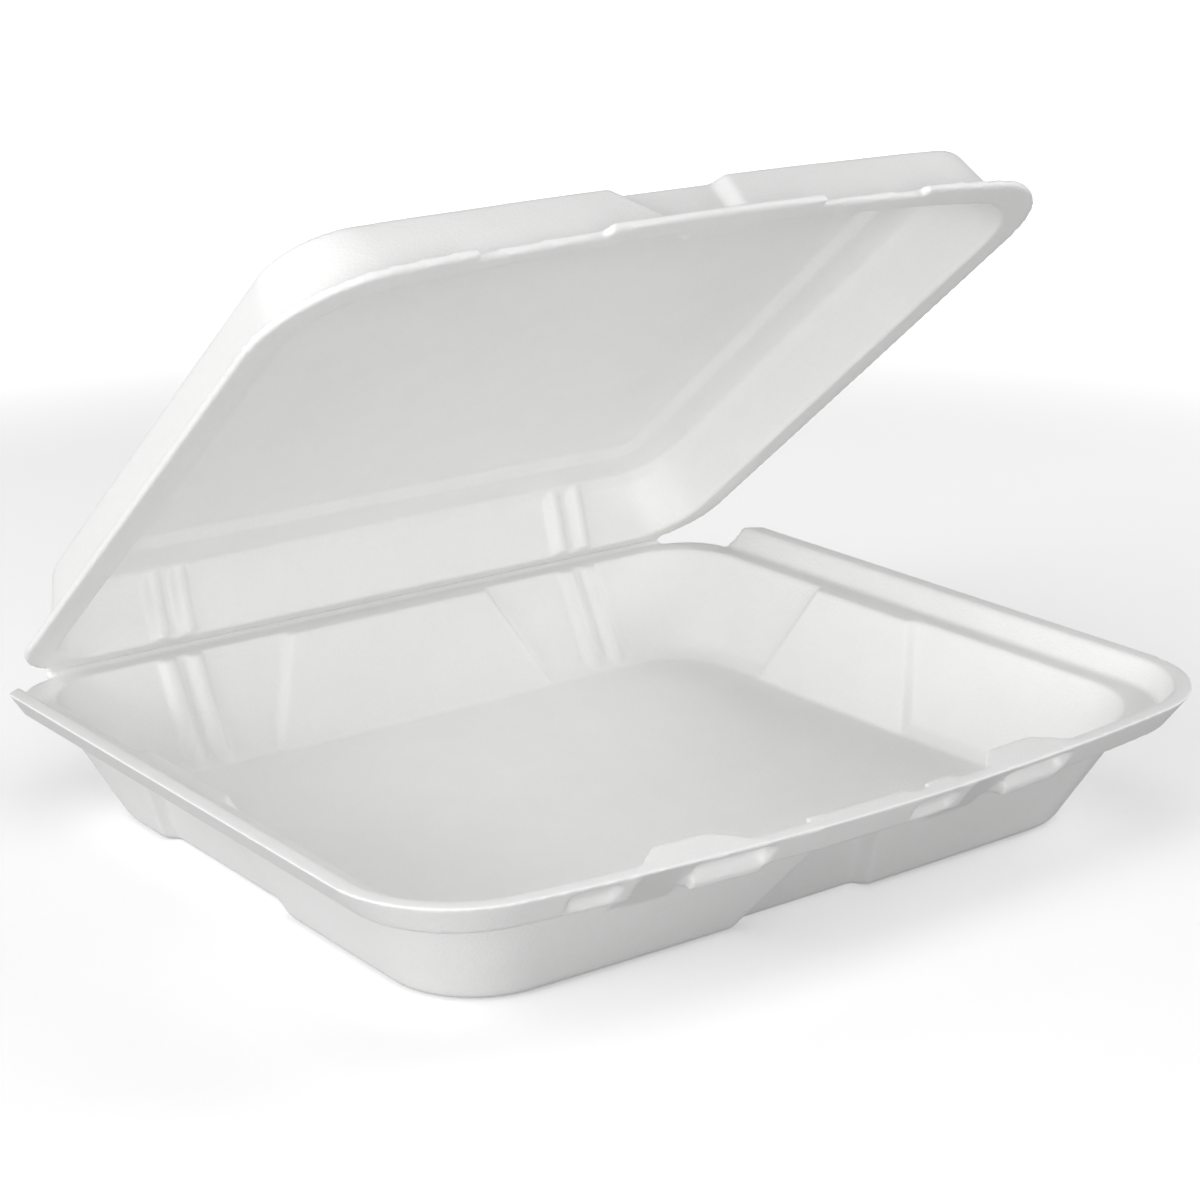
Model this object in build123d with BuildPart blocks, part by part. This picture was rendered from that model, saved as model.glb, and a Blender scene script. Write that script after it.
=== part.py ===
"""Foam hinged lid container: a shallow one-compartment tray with its lid standing open."""
import math
import os

from build123d import *

# Sheet and hinge line
foam = 3.0
wall_lean = 1.12                # plan thickness of the foam on a sloping wall, as a share of its own
hinge_height = 40.0             # height of the hinge line above the table
hinge_setback = 140.0           # hinge line behind the middle of the floor, which is the origin
seat_gap = 0.2                  # ledge and lid flange each stay this far from the hinge plane
lid_angle = 38.5                # how far the lid stands open

# Rim of the tray, at its outer edge
rim_half = 165.0
rim_height = 48.0
rim_front = 297.0               # hinge line to the middle of the front edge
rim_sweep = 858.0               # plan radius of the bowed front edge
rim_corner = 44.0
rim_width = 6.2                 # flat top of the rim
lip_run = 11.5                  # rim edge to the foot of the lip inside
lip_under_run = 8.5             # rim edge to the underside of the lip
lip_end_rim = 32.0              # the lip stops this far in front of the hinge at the rim
lip_end_ledge = 23.0            # and this far at the ledge
back_corner = 20.0              # plan radius of the ledge beside the hinge
lip_back = 6.0                  # hinge line to the back of the space inside the lip

# Tray walls, outer side: half width, back, front, front sweep, front corner, back corner
tray_floor = (131.5, 27.0, 252.5, 4300.0, 31.0, 31.0)
tray_top = (148.0, 7.5, 280.0, 841.0, 38.0, 30.0)
foot_radius = 5.0
inner_floor_chamfer = 4.0       # sloping strip between the walls and the floor on the food side

# Panels pressed into the tray walls: half widths at the ledge and at the floor
panel_depth = 4.3
panel_inner_depth = 3.5         # how far the same panel stands in on the food side
panel_flank = 0.8               # run of a panel's sloping flank for each millimetre of its depth
panel_proud = 8.0               # the pressing block starts this far outside the wall
panel_over = 12.0               # and runs this far past both ends of the wall
side_panel_center = 118.0
side_panel = (27.0, 43.0)
back_panel = (44.0, 61.0)
front_panel = (10.0, 28.0)

# Pairs of stiffening flutes in the back walls: radius and depth below the wall's outer face
flute_center = 88.0
flute_spacing = 10.6
flute_groove = (2.9, 2.8)
flute_ridge = (3.5, 6.0)
flute_over = 6.0

# Latches in the front rim, at distances along the bowed edge from its middle
latch_centers = (-69.5, 62.5)
hood_half = (25.5, 9.5)         # half length at the rim and at the hood's inner edge
hood_reach = 15.0               # how far a hood leans in over the tray
hood_rise = 1.5
outside = -6.0                  # run of the far side of a cut that starts outside the rim

# Stretches of the front edge and their profiles: (run in from the rim, height) pairs
flush_zones = ((-91.0, -70.0), (34.0, 54.5))
flush_cut = ((outside, 47.0), (1.0, 47.0), (13.0, 36.8), (outside, 36.8))
flush_skin = ((13.0, 36.8), (17.4, 37.4), (26.0, 27.4), (24.0, 27.4))
flush_room = ((0.0, 45.5), (7.4, 45.5), (14.1, 39.1), (14.1, 36.0), (0.0, 36.0))
catches = ((-70.0, -44.0), (54.5, 80.5))
catch_cut = ((outside, 45.6), (6.2, 45.6), (9.6, 41.0), (7.6, 38.0), (outside, 38.0))
catch_room = ((0.0, 46.2), (9.4, 46.2), (12.8, 41.6), (12.4, 38.6), (0.0, 38.6))
catch_tongue = ((7.3, 38.4), (9.4, 34.6), (17.4, 34.6), (17.0, 36.8), (12.0, 38.0))
nooks = ((-113.0, -97.0), (12.0, 28.0))
nook_cut = ((outside, 45.6), (4.4, 45.6), (7.6, 41.6), (7.8, 38.2), (outside, 38.2))
rim_tabs = ((-28.0, 12.0), (19.0, 31.0))
rim_tab = ((0.0, 48.0), (9.6, 48.0), (8.6, 45.0), (0.0, 45.0))

# Lid measured closed, outer side
lid_flange = (151.0, 3.0, 283.5, 844.5, 40.0, 24.0)
lid_foot = (142.0, 7.0, 275.0, 836.0, 34.0, 24.0)
lid_top = (136.0, 17.0, 260.0, 3000.0, 24.0, 24.0)
lid_plateau = (115.0, 38.0, 239.0, 3000.0, 13.0, 13.0)
lid_height = 26.5               # hinge plane to the border of the top panel
lid_edge_radius = 3.0
lid_inner_chamfer = 3.4
plateau_run = 6.0
plateau_height = 2.4
lid_panel_depth = 4.8
lid_panel = (13.0, 23.0)        # half widths at the flange and at the top
lid_panel_inner_depth = 3.8
notch_depth = 3.0
notch_half = 22.5
notch_centers = (-69.0, 60.0)
dimple_center = 23.0
dimple_length = 8.0
dimple_width = 2.0
dimple_depth = 1.0
dimple_front = 278.0

# Hinge bead along the fold
hinge_half = 136.0
bead_radius = 1.6
bead_gap = 0.08
web_reach = 3.0                 # bead centre to the thick foam on each side
web = 1.2                       # thickness of the foam beside the bead
web_length = 9.0                # bead centre to the far end of that thin foam

# Derived heights and radii
ledge_top = hinge_height - seat_gap
ledge_under = ledge_top - foam
lid_under = hinge_height + seat_gap
lid_flange_top = lid_under + foam
lid_roof = hinge_height + lid_height
front_axis = Axis((0, rim_sweep - rim_front, 0), (0, 0, 1))


def plan(height, half, back, front, sweep, corner, rear_corner):
    """Plan face: straight sides, rounded corners and a front edge bowed outwards."""
    centre = sweep - front
    shift = half - corner
    blend = centre - math.sqrt((sweep - corner) ** 2 - shift ** 2)
    angle = math.atan2(blend - centre, shift)
    middle = (angle - math.pi / 2) / 2
    rear = rear_corner * (1 - math.sin(math.pi / 4))
    with BuildSketch(Plane.XY.offset(height)) as face:
        with BuildLine():
            Line((0, -back), (half - rear_corner, -back))
            ThreePointArc(
                (half - rear_corner, -back),
                (half - rear, -back - rear),
                (half, -back - rear_corner),
            )
            Line((half, -back - rear_corner), (half, blend))
            ThreePointArc(
                (half, blend),
                (shift + corner * math.cos(angle / 2), blend + corner * math.sin(angle / 2)),
                (shift + corner * math.cos(angle), blend + corner * math.sin(angle)),
            )
            ThreePointArc(
                (sweep * math.cos(angle), centre + sweep * math.sin(angle)),
                (sweep * math.cos(middle), centre + sweep * math.sin(middle)),
                (0, -front),
            )
            mirror(about=Plane.YZ)
        make_face()
    return face.sketch


def inset(outline, amount):
    """The same outline moved inwards all round."""
    half, back, front, sweep, corner, rear_corner = outline
    return (
        half - amount,
        back + amount,
        front - amount,
        sweep - amount,
        corner - amount,
        rear_corner - amount,
    )


def rim_outline(amount, back=0.0, rear_corner=back_corner):
    """Outline that runs a given distance inside the rim."""
    return (
        rim_half - amount,
        back,
        rim_front - amount,
        rim_sweep - amount,
        rim_corner - amount,
        rear_corner,
    )


def skin(low, high, share):
    """Inner side of a sloping wall at a share of its height, one foam thickness in from the outer side."""
    mixed = [a + (b - a) * share for a, b in zip(low, high)]
    mixed[3] = 1 / (1 / low[3] + (1 / high[3] - 1 / low[3]) * share)
    return inset(mixed, foam * wall_lean)


def wall_plane(turn, foot, head, low, high, along=0.0):
    """Plane on the outer face of a wall: x along the wall, y up it, z outwards."""
    outward = Vector(0, -1, 0).rotate(Axis.Z, turn)
    side = Vector(1, 0, 0).rotate(Axis.Z, turn)
    origin = outward * foot + side * along + Vector(0, 0, low)
    normal = outward * (high - low) - Vector(0, 0, 1) * (head - foot)
    return Plane(origin=origin, x_dir=side, z_dir=normal)


def panel_face(plane, length, narrow, wide):
    """Trapezoid on a wall, wide at the low end of the plane, carried past both ends."""
    slope = (narrow - wide) / length
    spread = slope * panel_over
    with BuildSketch(plane) as face:
        with BuildLine():
            Polyline(
                (-wide + spread, -panel_over),
                (wide - spread, -panel_over),
                (narrow + spread, length + panel_over),
                (-narrow - spread, length + panel_over),
                close=True,
            )
        make_face()
    return face.sketch


def press_panel(plane, length, narrow, wide, depth, margin=0.0):
    """Trapezoid block with sloping flanks, pressed into a wall from its outer face."""
    side = margin * math.hypot(1, panel_flank)
    grow = side + panel_flank * panel_proud
    shrink = panel_flank * depth - side
    deep = panel_face(plane.offset(-depth), length, narrow - shrink, wide - shrink)
    outer = panel_face(plane.offset(panel_proud), length, narrow + grow, wide + grow)
    loft([deep, outer], ruled=True, mode=Mode.SUBTRACT)


def press_flutes(plane, length, radius, depth):
    """Two pairs of round flutes pressed up a wall."""
    for place in (-flute_center, flute_center):
        for shift in (-flute_spacing / 2, flute_spacing / 2):
            start = plane.from_local_coords(Vector(place + shift, -flute_over, radius - depth))
            with BuildSketch(Plane(origin=start, x_dir=plane.x_dir, z_dir=plane.y_dir)) as face:
                Circle(radius)
            extrude(face.sketch, amount=length + 2 * flute_over, mode=Mode.SUBTRACT)


def on_front(along, run):
    """Point at a distance along the bowed front edge and a run in from it."""
    turn = along / rim_sweep
    radius = rim_sweep - run
    return (radius * math.sin(turn), rim_sweep - rim_front - radius * math.cos(turn))


def front_band(points, span, mode):
    """Profile of (run in from the rim, height) pairs swept along a span of the bowed front edge."""
    start = math.degrees(span[0] / rim_sweep)
    arc = math.degrees((span[1] - span[0]) / rim_sweep)
    radial = Vector(0, -1, 0).rotate(Axis.Z, start)
    frame = Plane(origin=front_axis.position, x_dir=radial, z_dir=radial.cross(Vector(0, 0, 1)))
    with BuildSketch(frame) as face:
        with BuildLine():
            Polyline(*[(rim_sweep - run, height) for run, height in points], close=True)
        make_face()
    revolve(face.sketch, axis=front_axis, revolution_arc=arc, mode=mode)


def slant(low, high, foot, head):
    """Length up a sloping wall."""
    return math.hypot(high - low, head - foot)


tray_walls = [
    (0, tray_floor[2], tray_top[2], 0.0, front_panel),
    (90, tray_floor[0], tray_top[0], -side_panel_center, side_panel),
    (-90, tray_floor[0], tray_top[0], side_panel_center, side_panel),
    (180, -tray_floor[1], -tray_top[1], 0.0, back_panel),
]


def press_tray(depth, flute, margin=0.0):
    """Panels and flutes pressed into the tray's walls."""
    for turn, foot, head, along, (narrow, wide) in tray_walls:
        plane = wall_plane(turn, foot, head, 0, ledge_under, along)
        press_panel(plane, slant(0, ledge_under, foot, head), narrow, wide, depth, margin)
    back = wall_plane(180, -tray_floor[1], -tray_top[1], 0, ledge_under)
    press_flutes(back, slant(0, ledge_under, tray_floor[1], tray_top[1]), *flute)


def press_lid(depth, flute, margin=0.0):
    """Front panel and back flutes pressed into the lid's walls."""
    front = wall_plane(0, lid_top[2], lid_foot[2], lid_roof, lid_flange_top)
    length = slant(lid_roof, lid_flange_top, lid_top[2], lid_foot[2])
    up = Plane(origin=front.origin, x_dir=-front.x_dir, z_dir=-front.z_dir)
    press_panel(up, length, lid_panel[0], lid_panel[1], depth, margin)
    back = wall_plane(180, -lid_foot[1], -lid_top[1], lid_flange_top, lid_roof)
    press_flutes(back, slant(lid_flange_top, lid_roof, lid_foot[1], lid_top[1]), *flute)


def press_plateau(height, margin):
    """Raised field of the lid's top panel."""
    foot = inset(lid_plateau, margin)
    levels = [
        plan(height - foam / 2, *foot),
        plan(height, *foot),
        plan(height + plateau_height, *inset(foot, plateau_run)),
    ]
    loft(levels, ruled=True)


def hood_outline(middle, margin):
    """Plan of a hood: long at the rim and short at its inner edge."""
    reach = hood_reach + foam
    inner = hood_half[1] - (hood_half[0] - hood_half[1]) * foam / hood_reach
    corners = [
        (middle - hood_half[0] + margin, 0),
        (middle + hood_half[0] - margin, 0),
        (middle + inner - margin, reach),
        (middle - inner + margin, reach),
    ]
    return Polygon(*[on_front(along, run) for along, run in corners], align=None)


def hood_blocks(points, margin):
    """Both hoods, as a front profile trimmed to their plan outlines."""
    with BuildPart() as block:
        for middle in latch_centers:
            front_band(points, (middle - hood_half[0], middle + hood_half[0]), Mode.ADD)
        with BuildSketch() as trim:
            for middle in latch_centers:
                add(hood_outline(middle, margin))
        extrude(trim.sketch, amount=2 * rim_height, mode=Mode.INTERSECT)
    return block.part


hood_profile = [
    (0.0, rim_height),
    (hood_reach, rim_height + hood_rise),
    (hood_reach, ledge_under),
    (lip_under_run, ledge_under),
]
hood_room_reach = hood_reach + 1
hood_room_profile = [
    (lip_under_run - 0.5, rim_height - foam),
    (hood_room_reach, rim_height + hood_rise - foam),
    (hood_room_reach, ledge_top),
    (lip_run, ledge_top),
]
hoods = hood_blocks(hood_profile, 0)
hood_rooms = hood_blocks(hood_room_profile, foam)

# Space inside the tray
with BuildPart() as tray_space:
    tray_low = plan(foam, *skin(tray_floor, tray_top, foam / ledge_under))
    tray_high = plan(rim_height, *skin(tray_floor, tray_top, rim_height / ledge_under))
    loft([tray_low, tray_high], ruled=True)
    chamfer(tray_space.faces().sort_by(Axis.Z)[0].edges(), length=inner_floor_chamfer)
    press_tray(panel_inner_depth + foam, flute_ridge, foam)
    lip_low = plan(ledge_top, *rim_outline(lip_run, lip_back))
    lip_high = plan(rim_height, *rim_outline(rim_width, lip_back))
    loft([lip_low, lip_high], ruled=True)
    add(hoods, mode=Mode.SUBTRACT)
    add(hood_rooms)
    for start, end in flush_zones:
        front_band(flush_room, (start - foam, end + foam), Mode.SUBTRACT)
    for start, end in catches:
        front_band(catch_room, (start - foam, end + foam), Mode.SUBTRACT)
    for span in rim_tabs:
        front_band(rim_tab, span, Mode.SUBTRACT)

# Upstanding lip round the rim, stopping short of the hinge
with BuildPart() as lip:
    loft([plan(ledge_under, *rim_outline(lip_under_run)), plan(rim_height, *rim_outline(0))], ruled=True)
    with BuildSketch(Plane.XY.offset(ledge_under)):
        with BuildLine():
            Polyline(
                (-2 * rim_half, rim_half),
                (-2 * rim_half, -lip_end_rim),
                (-rim_half, -lip_end_rim),
                (lip_run - rim_half, -lip_end_ledge),
                (rim_half - lip_run, -lip_end_ledge),
                (rim_half, -lip_end_rim),
                (2 * rim_half, -lip_end_rim),
                (2 * rim_half, rim_half),
                close=True,
            )
        make_face()
    extrude(amount=rim_height, mode=Mode.SUBTRACT)

# Lower leaf
with BuildPart() as tray:
    loft([plan(0, *tray_floor), plan(ledge_under, *tray_top)], ruled=True)
    fillet(tray.faces().sort_by(Axis.Z)[0].edges(), radius=foot_radius)
    press_tray(panel_depth, flute_groove)
    extrude(plan(ledge_under, *rim_outline(lip_run, web_reach)), amount=foam)
    add(lip.part)
    add(hoods)
    for span in flush_zones:
        front_band(flush_skin, span, Mode.ADD)
        front_band(flush_cut, span, Mode.SUBTRACT)
    for span in catches:
        front_band(catch_tongue, span, Mode.ADD)
        front_band(catch_cut, span, Mode.SUBTRACT)
    for span in nooks:
        front_band(nook_cut, span, Mode.SUBTRACT)
    add(tray_space.part, mode=Mode.SUBTRACT)
    with BuildSketch(Plane.YZ.offset(-hinge_half)):
        with Locations((0, hinge_height)):
            Circle(bead_radius)
        with Locations((-web_length / 2, ledge_top - web / 2)):
            Rectangle(web_length, web)
    extrude(amount=2 * hinge_half)

# Space inside the lid
with BuildPart() as lid_space:
    foam_share = foam / (lid_roof - lid_flange_top)
    lid_low = plan(lid_under, *skin(lid_foot, lid_top, -foam_share))
    lid_high = plan(lid_roof - foam, *skin(lid_foot, lid_top, 1 - foam_share))
    loft([lid_low, lid_high], ruled=True)
    chamfer(lid_space.faces().sort_by(Axis.Z)[-1].edges(), length=lid_inner_chamfer)
    press_lid(lid_panel_inner_depth + foam, flute_ridge, foam)
    press_plateau(lid_roof - foam, foam)

notch_run = rim_front - lid_flange[2] + notch_depth
notch = [
    (outside, lid_under - foam),
    (notch_run, lid_under - foam),
    (notch_run, lid_flange_top + foam),
    (outside, lid_flange_top + foam),
]

# Upper leaf
with BuildPart() as lid:
    loft([plan(lid_flange_top, *lid_foot), plan(lid_roof, *lid_top)], ruled=True)
    fillet(lid.faces().sort_by(Axis.Z)[-1].edges(), radius=lid_edge_radius)
    press_lid(lid_panel_depth, flute_groove)
    press_plateau(lid_roof, 0)
    extrude(plan(lid_under, *lid_flange), amount=foam)
    add(lid_space.part, mode=Mode.SUBTRACT)
    for middle in notch_centers:
        front_band(notch, (middle - notch_half, middle + notch_half), Mode.SUBTRACT)
    with BuildSketch(Plane.XY.offset(lid_under)):
        with Locations((-dimple_center, -dimple_front), (dimple_center, -dimple_front)):
            Rectangle(dimple_length, dimple_width)
    extrude(amount=dimple_depth, mode=Mode.SUBTRACT)
    with BuildSketch(Plane.YZ.offset(-hinge_half)):
        with Locations((-web_length / 2, lid_under + web / 2)):
            Rectangle(web_length, web)
    extrude(amount=2 * hinge_half)
    with BuildSketch(Plane.YZ.offset(-hinge_half)):
        with Locations((0, hinge_height)):
            Circle(bead_radius + bead_gap)
    extrude(amount=2 * hinge_half, mode=Mode.SUBTRACT)

# Stand the lid open and bring the middle of the floor to the origin
hinge_line = Axis((0, 0, hinge_height), (1, 0, 0))
to_origin = Location((0, hinge_setback, 0))
tray_seated = tray.part.moved(to_origin)
lid_seated = lid.part.rotate(hinge_line, -lid_angle).moved(to_origin)

os.makedirs("parts", exist_ok=True)
tray_seated.label = "tray"
export_step(tray_seated, "parts/tray.step")
lid_seated.label = "lid"
export_step(lid_seated, "parts/lid.step")
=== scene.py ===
"""Looks of a foam hinged lid container: the soft foam skins, their finish, studio and camera."""

from __future__ import annotations

import logging
import math
from dataclasses import dataclass, field
from enum import Enum
from typing import Any

import bmesh
import bpy
from mathutils import Matrix, Vector

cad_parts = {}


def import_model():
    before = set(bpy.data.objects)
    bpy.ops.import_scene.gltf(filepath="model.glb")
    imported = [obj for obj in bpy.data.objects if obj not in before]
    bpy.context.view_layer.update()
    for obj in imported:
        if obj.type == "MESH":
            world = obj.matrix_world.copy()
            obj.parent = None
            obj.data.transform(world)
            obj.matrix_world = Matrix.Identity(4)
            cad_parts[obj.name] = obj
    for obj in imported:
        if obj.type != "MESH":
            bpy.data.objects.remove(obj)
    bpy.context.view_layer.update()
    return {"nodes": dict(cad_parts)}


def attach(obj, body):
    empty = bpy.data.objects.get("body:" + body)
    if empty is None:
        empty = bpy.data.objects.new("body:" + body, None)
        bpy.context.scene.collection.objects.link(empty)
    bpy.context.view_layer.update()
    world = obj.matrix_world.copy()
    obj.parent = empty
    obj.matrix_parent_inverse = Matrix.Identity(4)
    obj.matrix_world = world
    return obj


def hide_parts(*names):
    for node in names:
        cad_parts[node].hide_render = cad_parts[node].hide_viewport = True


Vec3 = tuple[float, float, float]

log = logging.getLogger("foam_container")

MILLIMETRE = 0.001
WHITE = (1.0, 1.0, 1.0, 1.0)


class Leaf(Enum):
    """The two leaves of the moulded sheet, by CAD node and body."""

    TRAY = "tray"
    LID = "lid"


class Num:
    """One number in a shader: wraps a socket, and arithmetic on it adds Math nodes."""

    def __init__(self, graph: Graph, socket: bpy.types.NodeSocket) -> None:
        """Keeps the graph that new nodes go into.

        Args:
            graph: the material's node graph.
            socket: the output socket that gives this number.
        """
        self.graph = graph
        self.socket = socket

    def _math(self, operation: str, first: Num | float, second: Num | float) -> Num:
        """Adds one Math node.

        Args:
            operation: Blender's name for the operation.
            first: the first value.
            second: the second value.

        Returns:
            The node's result.
        """
        node = self.graph.node("ShaderNodeMath", {"operation": operation}, {0: first, 1: second})
        return Num(self.graph, node.outputs[0])

    def __add__(self, other: Num | float) -> Num:
        """This number plus another."""
        return self._math("ADD", self, other)

    def __radd__(self, other: float) -> Num:
        """A value plus this number."""
        return self._math("ADD", other, self)

    def __sub__(self, other: Num | float) -> Num:
        """This number minus another."""
        return self._math("SUBTRACT", self, other)

    def __rsub__(self, other: float) -> Num:
        """A value minus this number."""
        return self._math("SUBTRACT", other, self)

    def __mul__(self, other: Num | float) -> Num:
        """This number times another."""
        return self._math("MULTIPLY", self, other)

    def __rmul__(self, other: float) -> Num:
        """A value times this number."""
        return self._math("MULTIPLY", other, self)


class Graph:
    """The node graph of one material or world."""

    def __init__(self, owner: bpy.types.Material | bpy.types.World) -> None:
        """Empties the owner's graph.

        Args:
            owner: the material or world whose nodes are made.
        """
        owner.use_nodes = True
        self.tree = owner.node_tree
        self.tree.nodes.clear()

    def node(
        self,
        kind: str,
        settings: dict[str, Any] | None = None,
        inputs: dict[str | int, Any] | None = None,
    ) -> bpy.types.Node:
        """Adds a node, its settings first and then its sockets.

        Args:
            kind: Blender's name for the node type.
            settings: properties of the node.
            inputs: values, sockets or numbers for the sockets, by name or place.

        Returns:
            The new node.
        """
        made = self.tree.nodes.new(kind)
        for name, value in (settings or {}).items():
            setattr(made, name, value)
        for name, value in (inputs or {}).items():
            socket = made.inputs[name]
            if isinstance(value, Num):
                value = value.socket
            if isinstance(value, bpy.types.NodeSocket):
                self.tree.links.new(value, socket)
            else:
                socket.default_value = value
        return made

    def number(
        self,
        kind: str,
        settings: dict[str, Any],
        inputs: dict[str | int, Any],
        output: str,
    ) -> Num:
        """Adds a node and wraps one of its outputs.

        Args:
            kind: Blender's name for the node type.
            settings: properties of the node.
            inputs: values for its sockets.
            output: name of the output socket.

        Returns:
            That output as a number.
        """
        return Num(self, self.node(kind, settings, inputs).outputs[output])

    def place(self) -> bpy.types.NodeSocket:
        """Object coordinates in metres."""
        return self.node("ShaderNodeTexCoord").outputs["Object"]


@dataclass(frozen=True)
class FoamFinish:
    """Satin skin of pressed polystyrene foam, with its closed cells just showing."""

    name: str = "foam_skin"
    light: Vec3 = (0.94, 0.94, 0.935)
    shade: Vec3 = (0.885, 0.885, 0.88)
    cell_size: float = 0.9 * MILLIMETRE
    cell_share: float = 0.5
    cloud_size: float = 18 * MILLIMETRE
    cloud_share: float = 0.6
    cloud_layers: float = 2.0
    cloud_middle: float = 0.5
    dent_size: float = 1.1 * MILLIMETRE
    dent_depth: float = 0.09 * MILLIMETRE
    dent_layers: float = 0.0
    layer_fall: float = 0.5
    roughness: float = 0.46
    roughness_spread: float = 0.14

    def build(self) -> bpy.types.Material:
        """Makes the material.

        Returns:
            The foam material, on Object coordinates.
        """
        material = bpy.data.materials.new(self.name)
        graph = Graph(material)
        place = graph.place()
        cells = graph.number(
            "ShaderNodeTexVoronoi",
            {"feature": "F1"},
            {"Vector": place, "Scale": 1 / self.cell_size, "Randomness": 1.0},
            "Distance",
        )
        cloud = self._noise(graph, place, self.cloud_size, self.cloud_layers)
        tone = cloud * self.cloud_share + cells * self.cell_share
        colour = graph.node(
            "ShaderNodeMix",
            {"data_type": "RGBA"},
            {"Factor": tone, "A": (*self.light, 1.0), "B": (*self.shade, 1.0)},
        )
        gloss = self.roughness + (cloud - self.cloud_middle) * self.roughness_spread
        relief = self._noise(graph, place, self.dent_size, self.dent_layers) * self.dent_depth
        bump = graph.node(
            "ShaderNodeBump",
            {},
            {"Height": relief, "Strength": 1.0, "Distance": 1.0},
        )
        shader = graph.node(
            "ShaderNodeBsdfPrincipled",
            {},
            {
                "Base Color": colour.outputs["Result"],
                "Roughness": gloss,
                "Normal": bump.outputs["Normal"],
            },
        )
        graph.node("ShaderNodeOutputMaterial", {}, {"Surface": shader.outputs[0]})
        return material

    def _noise(
        self, graph: Graph, place: bpy.types.NodeSocket, size: float, layers: float
    ) -> Num:
        """A noise of a given size in metres.

        Args:
            graph: the material's node graph.
            place: coordinates that it reads.
            size: width of one cloud.
            layers: number of finer layers.

        Returns:
            The noise, about 0 to 1.
        """
        return graph.number(
            "ShaderNodeTexNoise",
            {},
            {"Vector": place, "Scale": 1 / size, "Detail": layers, "Roughness": self.layer_fall},
            "Fac",
        )


@dataclass
class MouldedLeaf:
    """One leaf of the sheet: its CAD shape with every edge softened, as on formed foam."""

    leaf: Leaf
    voxel: float = 0.92 * MILLIMETRE
    smooth_rounds: int = 7
    smooth_share: float = 0.5
    keep_share: float = 0.27
    weld: float = 0.001 * MILLIMETRE

    def build(
        self, nodes: dict[str, bpy.types.Object], finish: bpy.types.Material
    ) -> bpy.types.Object:
        """Makes the soft skin and puts it in the place of its CAD node.

        Args:
            nodes: the frame's nodes by name.
            finish: the foam material.

        Returns:
            The finished skin.
        """
        skin = self._copy_sheet(nodes[self.leaf.value])
        self._soften(skin)
        self._dress(skin, finish)
        return skin

    def _copy_sheet(self, node: bpy.types.Object) -> bpy.types.Object:
        """Copies the CAD node's mesh with its loose triangles merged.

        Args:
            node: the CAD node, which isn't changed.

        Returns:
            A new object with the merged mesh.
        """
        sheet = bmesh.new()
        sheet.from_mesh(node.data)
        bmesh.ops.remove_doubles(sheet, verts=sheet.verts, dist=self.weld)
        name = f"{self.leaf.value}_skin"
        mesh = bpy.data.meshes.new(name)
        sheet.to_mesh(mesh)
        sheet.free()
        skin = bpy.data.objects.new(name, mesh)
        bpy.context.scene.collection.objects.link(skin)
        return skin

    def _soften(self, skin: bpy.types.Object) -> None:
        """Rounds every edge a little and keeps the result as the skin's own mesh.

        Args:
            skin: the object whose mesh is softened.
        """
        remesh = skin.modifiers.new("remesh", "REMESH")
        remesh.mode = "VOXEL"
        remesh.voxel_size = self.voxel
        smooth = skin.modifiers.new("smooth", "SMOOTH")
        smooth.iterations = self.smooth_rounds
        smooth.factor = self.smooth_share
        thin = skin.modifiers.new("thin", "DECIMATE")
        thin.ratio = self.keep_share
        evaluated = skin.evaluated_get(bpy.context.evaluated_depsgraph_get())
        softened = bpy.data.meshes.new_from_object(evaluated)
        skin.modifiers.clear()
        skin.data = softened

    def _dress(self, skin: bpy.types.Object, finish: bpy.types.Material) -> None:
        """Shades the skin smooth, gives it its finish and ties it to its body.

        Args:
            skin: the finished skin.
            finish: the foam material.
        """
        skin.data.materials.clear()
        skin.data.materials.append(finish)
        skin.data.polygons.foreach_set("use_smooth", [True] * len(skin.data.polygons))
        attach(skin, self.leaf.value)
        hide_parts(self.leaf.value)


@dataclass
class Lamp:
    """A square soft light that looks at the container."""

    name: str
    place: Vec3
    watts: float
    size: float = 1.2
    aim: Vec3 = (0.0, 0.0, 0.06)

    def build(self) -> None:
        """Adds the lamp."""
        light = bpy.data.lights.new(self.name, "AREA")
        light.size = self.size
        light.energy = self.watts
        lamp = bpy.data.objects.new(self.name, light)
        lamp.location = self.place
        beam = Vector(self.aim) - Vector(self.place)
        lamp.rotation_euler = beam.to_track_quat("-Z", "Y").to_euler()
        bpy.context.scene.collection.objects.link(lamp)


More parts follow.
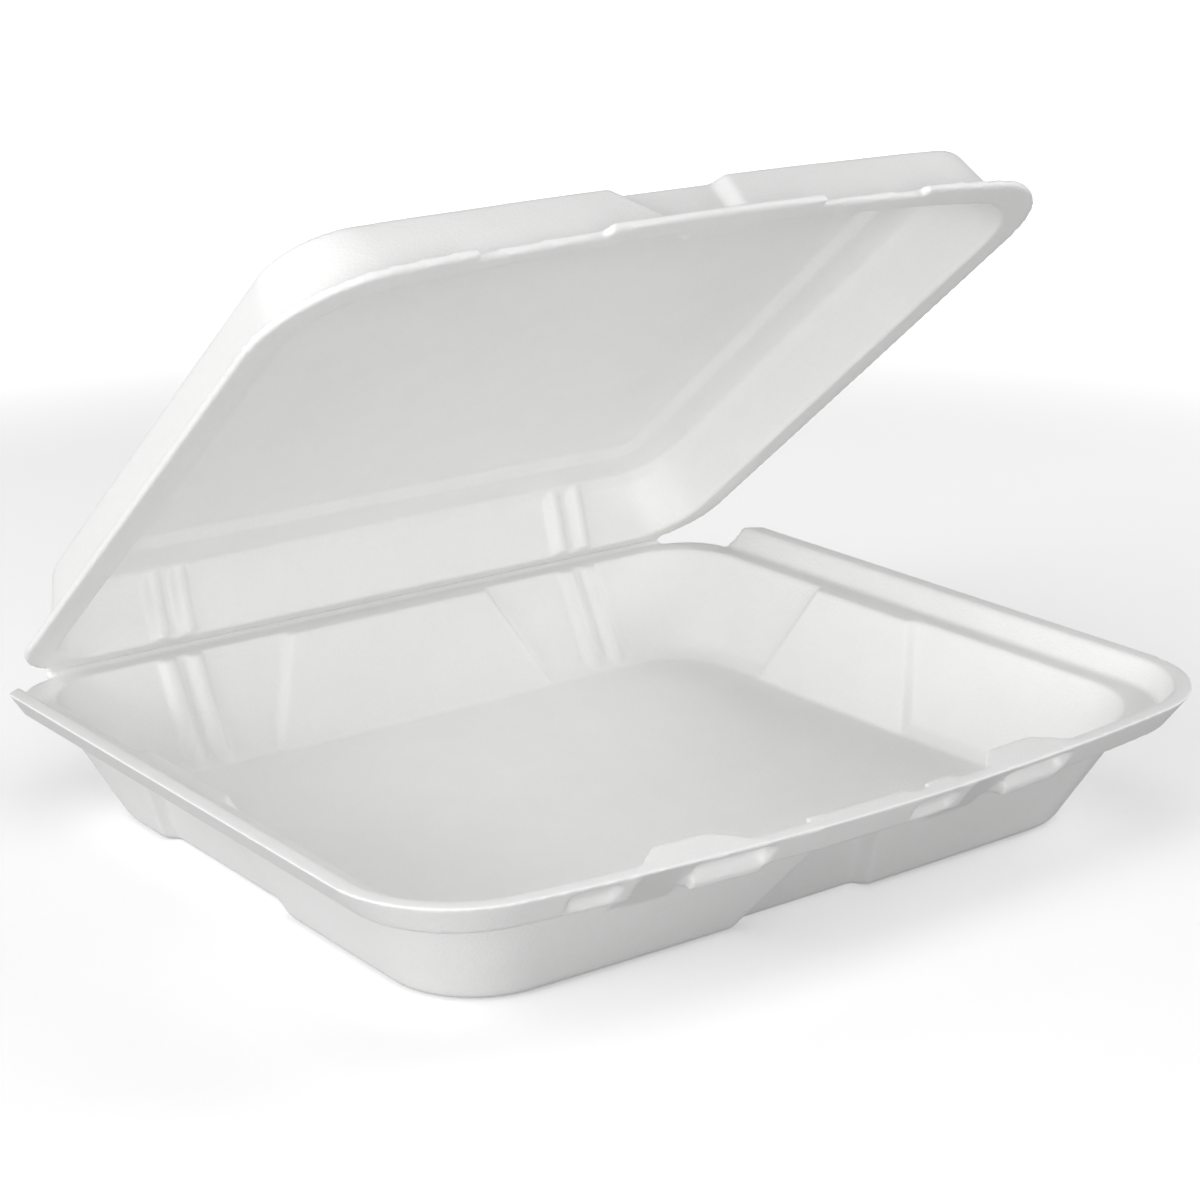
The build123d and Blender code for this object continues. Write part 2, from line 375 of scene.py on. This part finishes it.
@dataclass
class Studio:
    """White table, white surroundings and soft lamps."""

    table_half: float = 4.0
    table_tone: float = 0.9
    table_bounce: float = 0.4
    table_lift: float = 0.25
    table_near: float = 0.55
    table_far: float = 1.3
    table_roughness: float = 0.7
    sky: float = 0.2
    lamps: list[Lamp] = field(
        default_factory=lambda: [
            Lamp("left_high", (-1.9, -0.1, 1.25), 11.5),
            Lamp("left_low", (-2.0, -0.3, 0.35), 23.0),
            Lamp("front_low", (-0.6, -2.0, 0.25), 25.0),
            Lamp("right_high", (1.9, -0.5, 1.1), 15.0),
            Lamp("right_low", (2.0, -0.4, 0.4), 4.0),
            Lamp("top", (0.0, -0.2, 2.1), 5.0),
            Lamp("back_left", (-1.4, 1.4, 1.2), 7.0),
        ]
    )

    def build(self) -> None:
        """Adds the table, the world and the lamps."""
        self._add_table()
        self._set_world()
        for lamp in self.lamps:
            lamp.build()

    def _add_table(self) -> None:
        """Adds the table top: the camera sees it paler than it shines back, and white far off."""
        top = bmesh.new()
        bmesh.ops.create_grid(top, x_segments=1, y_segments=1, size=self.table_half)
        mesh = bpy.data.meshes.new("table_top")
        top.to_mesh(mesh)
        top.free()
        table = bpy.data.objects.new("table_top", mesh)
        bpy.context.scene.collection.objects.link(table)

        material = bpy.data.materials.new("table_paper")
        graph = Graph(material)
        seen = graph.number("ShaderNodeLightPath", {}, {}, "Is Camera Ray")
        tone = seen * (self.table_tone - self.table_bounce) + self.table_bounce
        paper = graph.node(
            "ShaderNodeBsdfPrincipled",
            {},
            {
                "Base Color": tone,
                "Roughness": self.table_roughness,
                "Specular IOR Level": 0.0,
            },
        )
        away = graph.number(
            "ShaderNodeVectorMath", {"operation": "LENGTH"}, {0: graph.place()}, "Value"
        )
        fade = graph.number(
            "ShaderNodeMapRange",
            {"interpolation_type": "SMOOTHSTEP"},
            {"Value": away, "From Min": self.table_near, "From Max": self.table_far},
            "Result",
        )
        glow = seen * (fade + self.table_lift)
        lift = graph.node("ShaderNodeEmission", {}, {"Color": WHITE, "Strength": glow})
        both = graph.node("ShaderNodeAddShader", {}, {0: paper.outputs[0], 1: lift.outputs[0]})
        graph.node("ShaderNodeOutputMaterial", {}, {"Surface": both.outputs[0]})
        mesh.materials.append(material)

    def _set_world(self) -> None:
        """Gives a grey surrounding light that the camera sees as white."""
        world = bpy.data.worlds.new("surroundings")
        bpy.context.scene.world = world
        graph = Graph(world)
        seen = graph.number("ShaderNodeLightPath", {}, {}, "Is Camera Ray")
        strength = seen * (1 - self.sky) + self.sky
        sky = graph.node("ShaderNodeBackground", {}, {"Color": WHITE, "Strength": strength})
        graph.node("ShaderNodeOutputWorld", {}, {"Surface": sky.outputs[0]})


@dataclass
class Viewpoint:
    """The camera of the product picture, for a square frame."""

    azimuth: float = -35.84
    elevation: float = 17.1
    roll: float = -1.0
    target: Vec3 = (0.0544, 0.068, 0.048)
    distance: float = 1.0435
    sensor: float = 36.0
    lens: float = 84.324
    far: float = 50.0

    def build(self) -> None:
        """Adds the camera and makes it the scene's own."""
        azimuth, elevation = math.radians(self.azimuth), math.radians(self.elevation)
        back = Vector(
            (
                math.sin(azimuth) * math.cos(elevation),
                -math.cos(azimuth) * math.cos(elevation),
                math.sin(elevation),
            )
        )
        turn = back.to_track_quat("Z", "Y").to_matrix().to_4x4()
        turn = turn @ Matrix.Rotation(math.radians(self.roll), 4, "Z")
        lens = bpy.data.cameras.new("product_view")
        lens.sensor_width = self.sensor
        lens.lens = self.lens
        lens.clip_end = self.far
        camera = bpy.data.objects.new("product_view", lens)
        camera.matrix_world = Matrix.Translation(Vector(self.target) + back * self.distance) @ turn
        bpy.context.scene.collection.objects.link(camera)
        bpy.context.scene.camera = camera


def main() -> None:
    """Builds the container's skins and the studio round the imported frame."""
    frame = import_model()
    bpy.context.scene.view_settings.view_transform = "Standard"

    foam = FoamFinish().build()
    for leaf in (MouldedLeaf(Leaf.TRAY), MouldedLeaf(Leaf.LID)):
        skin = leaf.build(frame["nodes"], foam)
        log.info("%s: %d faces", skin.name, len(skin.data.polygons))

    Studio().build()
    Viewpoint().build()


if __name__ == "__main__":
    logging.basicConfig(level=logging.INFO, format="%(message)s")
    main()
